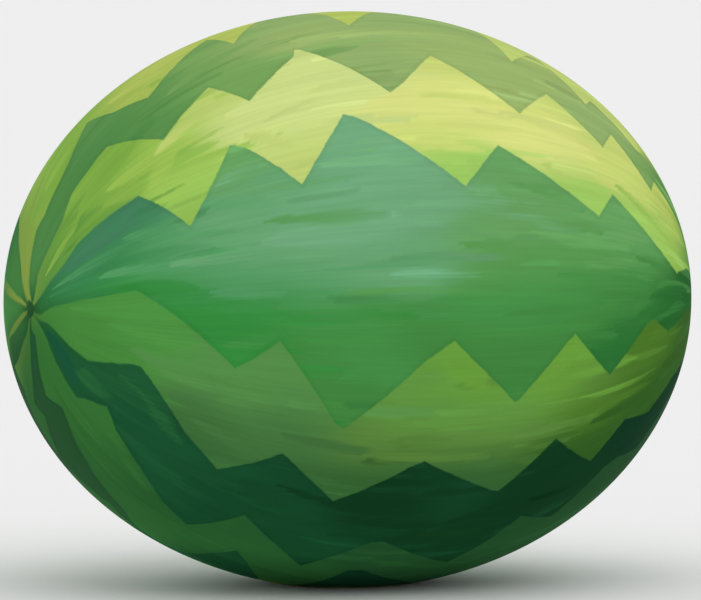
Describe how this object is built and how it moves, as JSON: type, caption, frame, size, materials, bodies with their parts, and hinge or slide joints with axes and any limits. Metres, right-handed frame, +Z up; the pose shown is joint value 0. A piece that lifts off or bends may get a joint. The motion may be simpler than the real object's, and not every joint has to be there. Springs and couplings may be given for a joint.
{
  "type": "watermelon",
  "caption": "Whole oval watermelon with a zigzag striped green rind, lying on its side on a small flat spot; a fresh fruit for tables, crates and market displays.",
  "frame": {"origin": "on the surface that the fruit rests on, under the middle of its bounding box, in the middle of the flat spot", "axes": "+X along the long axis from the stem end to the blossom end, +Z up, both ends drift a little towards -Y"},
  "size_m": [0.3, 0.247, 0.245],
  "materials": {
    "rind": "satin"
  },
  "bodies": {
    "root": {"watermelon": "rind"}
  },
  "joints": []
}
